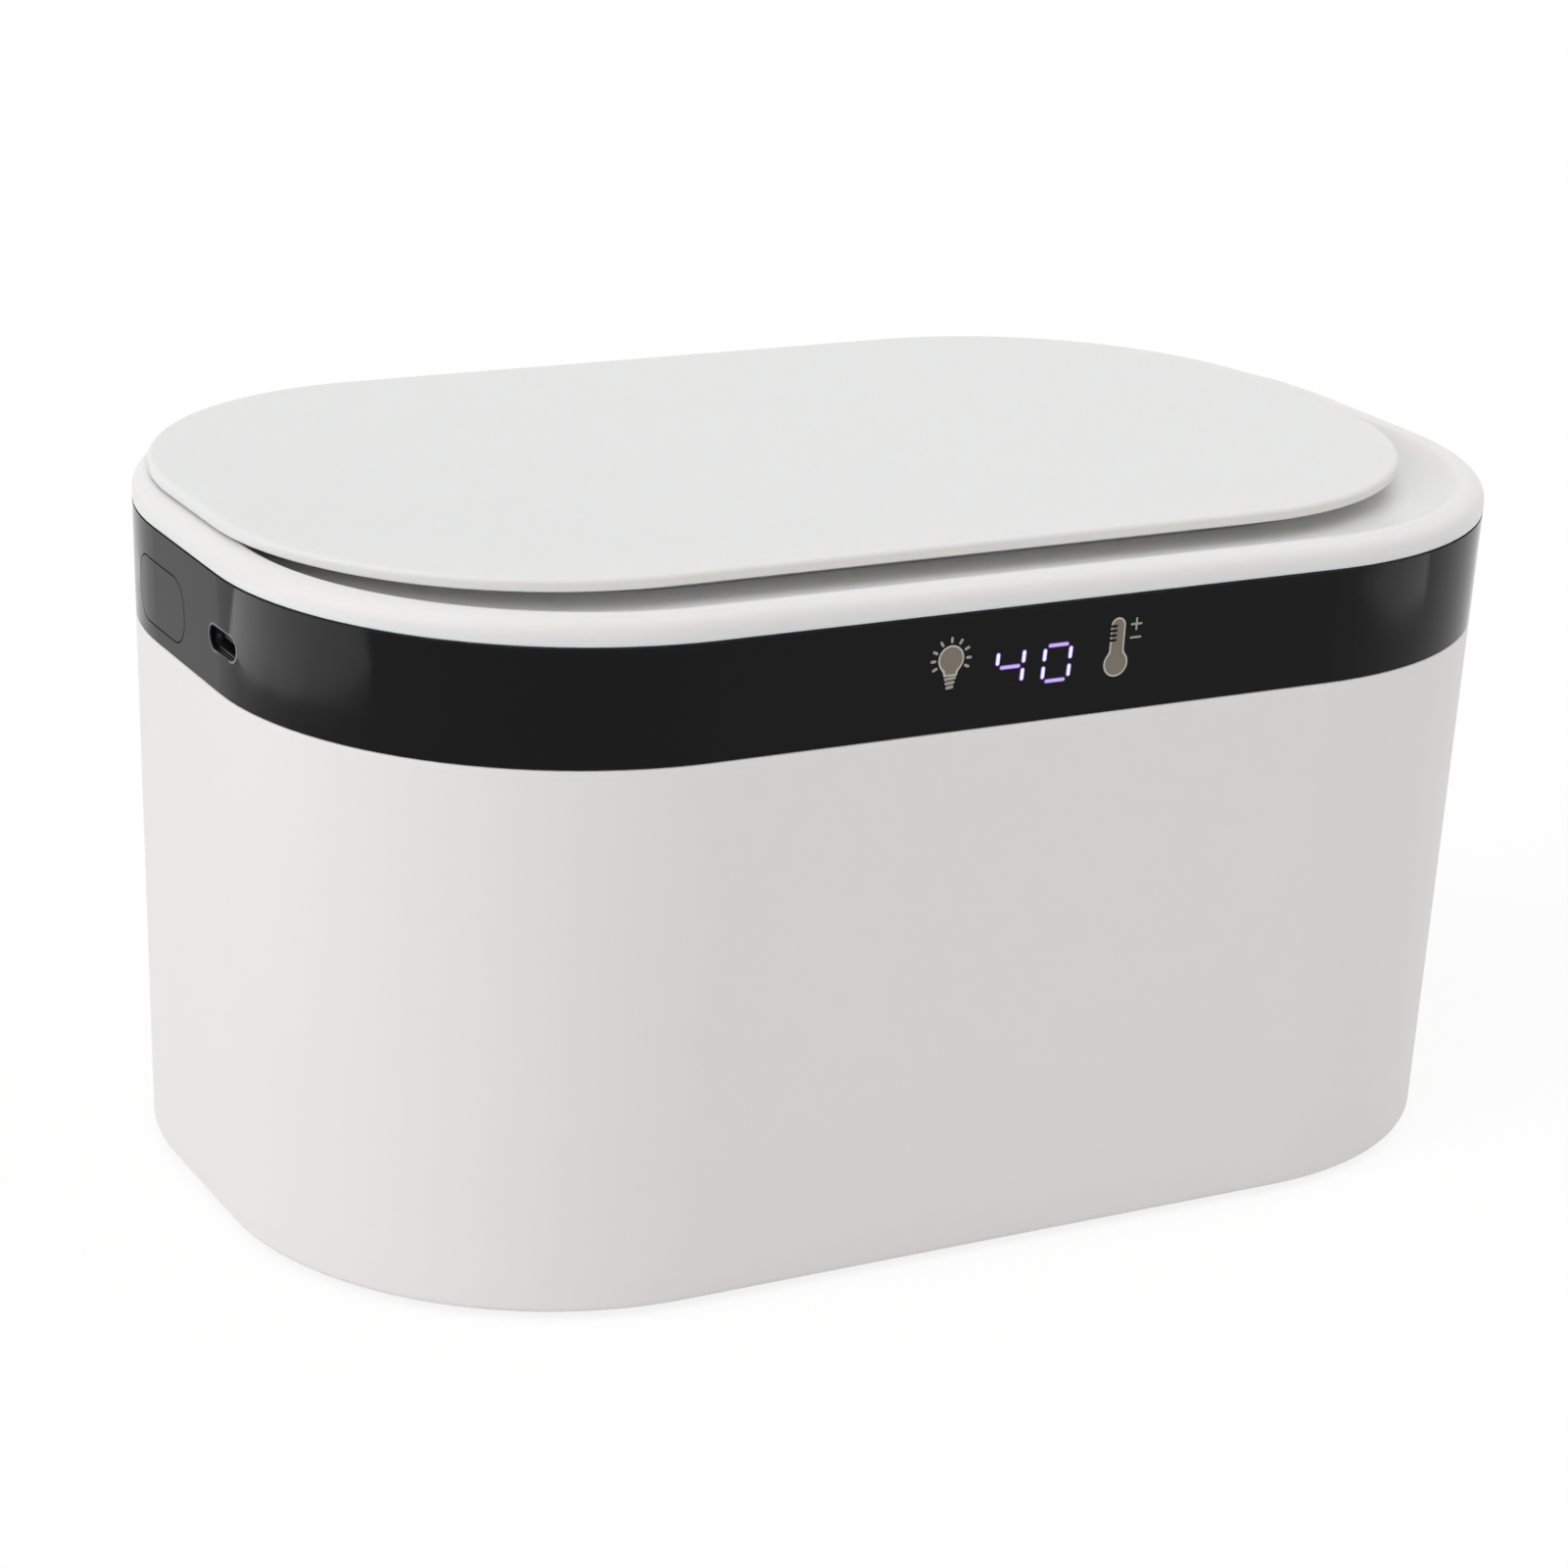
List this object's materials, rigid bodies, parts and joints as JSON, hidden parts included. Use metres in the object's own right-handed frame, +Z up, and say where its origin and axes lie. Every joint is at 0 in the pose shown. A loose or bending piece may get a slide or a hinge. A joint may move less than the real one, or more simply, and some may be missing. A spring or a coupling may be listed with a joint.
{
  "type": "baby wipe warmer",
  "caption": "Rounded tapered tub with a heated wipe bin under a hinged lid plate, a black band with a digital display and touch icons, a side button and a charging port.",
  "frame": {"origin": "the middle of the body on the surface the feet stand on", "axes": "+Z up; -Y towards the front with the display; -X towards the end with the charging port and the side button"},
  "size_m": [0.2, 0.1264, 0.1038],
  "materials": {
    "shell_plastic": "fine satin, off-white",
    "frame_plastic": "smooth satin, white",
    "lid_plastic": "smooth satin, white",
    "liner_plastic": "satin, white",
    "band_plastic": "polished black, lets light from the display through",
    "button_plastic": "polished black",
    "bin_plastic": "satin, white, food-safe",
    "base_plastic": "fine texture, off-white",
    "seal_silicone": "soft translucent silicone",
    "foot_rubber": "dull grey rubber",
    "foam_grey": "closed-cell foam",
    "film_amber": "heating film between amber sheets",
    "spreader_aluminium": "rolled sheet",
    "screw_steel": "zinc-plated steel",
    "pin_steel": "ground steel",
    "port_steel": "drawn stainless steel",
    "port_black": "moulded black",
    "board_green": "green circuit board",
    "part_black": "moulded black",
    "sensor_ceramic": "pale ceramic",
    "stem_plastic": "natural plastic",
    "digit_window": "dark display face with pale digit bars",
    "led_white": "white light emitters",
    "pad_copper": "copper touch pads",
    "lead_red": "red insulated wire",
    "lead_white": "white insulated wire",
    "ribbon_grey": "flat grey ribbon"
  },
  "bodies": {
    "housing": {"outer_shell": "shell_plastic", "control_band": "band_plastic", "top_frame": "frame_plastic", "hinge_pins": "pin_steel", "inner_tank": "bin_plastic", "tank_gasket": "seal_silicone", "tank_screws": "screw_steel", "heating_film": "film_amber", "insulation_sleeve": "foam_grey", "heat_spreader": "spreader_aluminium", "base_insulation": "foam_grey", "thermistor": "sensor_ceramic", "thermal_cutoff": "part_black", "usb_shell": "port_steel", "usb_insert": "port_black", "usb_board": "board_green", "usb_board_screws": "screw_steel", "switch_body": "part_black", "display_module": "digit_window", "display_board": "board_green", "display_screws": "screw_steel", "display_leds": "led_white", "touch_pads": "pad_copper", "base_plate": "base_plastic", "base_screws": "screw_steel", "frame_screws": "screw_steel", "rubber_feet": "foot_rubber", "main_board": "board_green", "board_screws": "screw_steel", "main_board_parts": "part_black", "power_leads": "lead_red", "heater_leads": "lead_white", "sensor_leads": "lead_white", "display_cable": "ribbon_grey"},
    "lid": {"lid_panel": "lid_plastic", "lid_liner": "liner_plastic", "lid_insulation": "foam_grey", "lid_seal": "seal_silicone", "lid_screws": "screw_steel"},
    "power_button": {"power_button": "button_plastic"},
    "switch_stem": {"switch_stem": "stem_plastic"}
  },
  "joints": [
    {"name": "lid_hinge", "type": "hinge", "parent": "housing", "child": "lid", "pos_m": [0, 0.06175, 0.1002], "axis": [-1, 0, 0], "range_deg": [0, 100]},
    {"name": "button_press", "type": "slide", "parent": "housing", "child": "power_button", "axis": [1, 0, 0], "range_m": [0, 0.0006], "stiffness_N_per_m": 1500, "springref_m": -0.0005},
    {"name": "stem_press", "type": "slide", "parent": "housing", "child": "switch_stem", "axis": [1, 0, 0], "range_m": [0, 0.0006]}
  ],
  "couplings": [
    {"joint": "stem_press", "follows": "button_press", "ratio": 1}
  ]
}
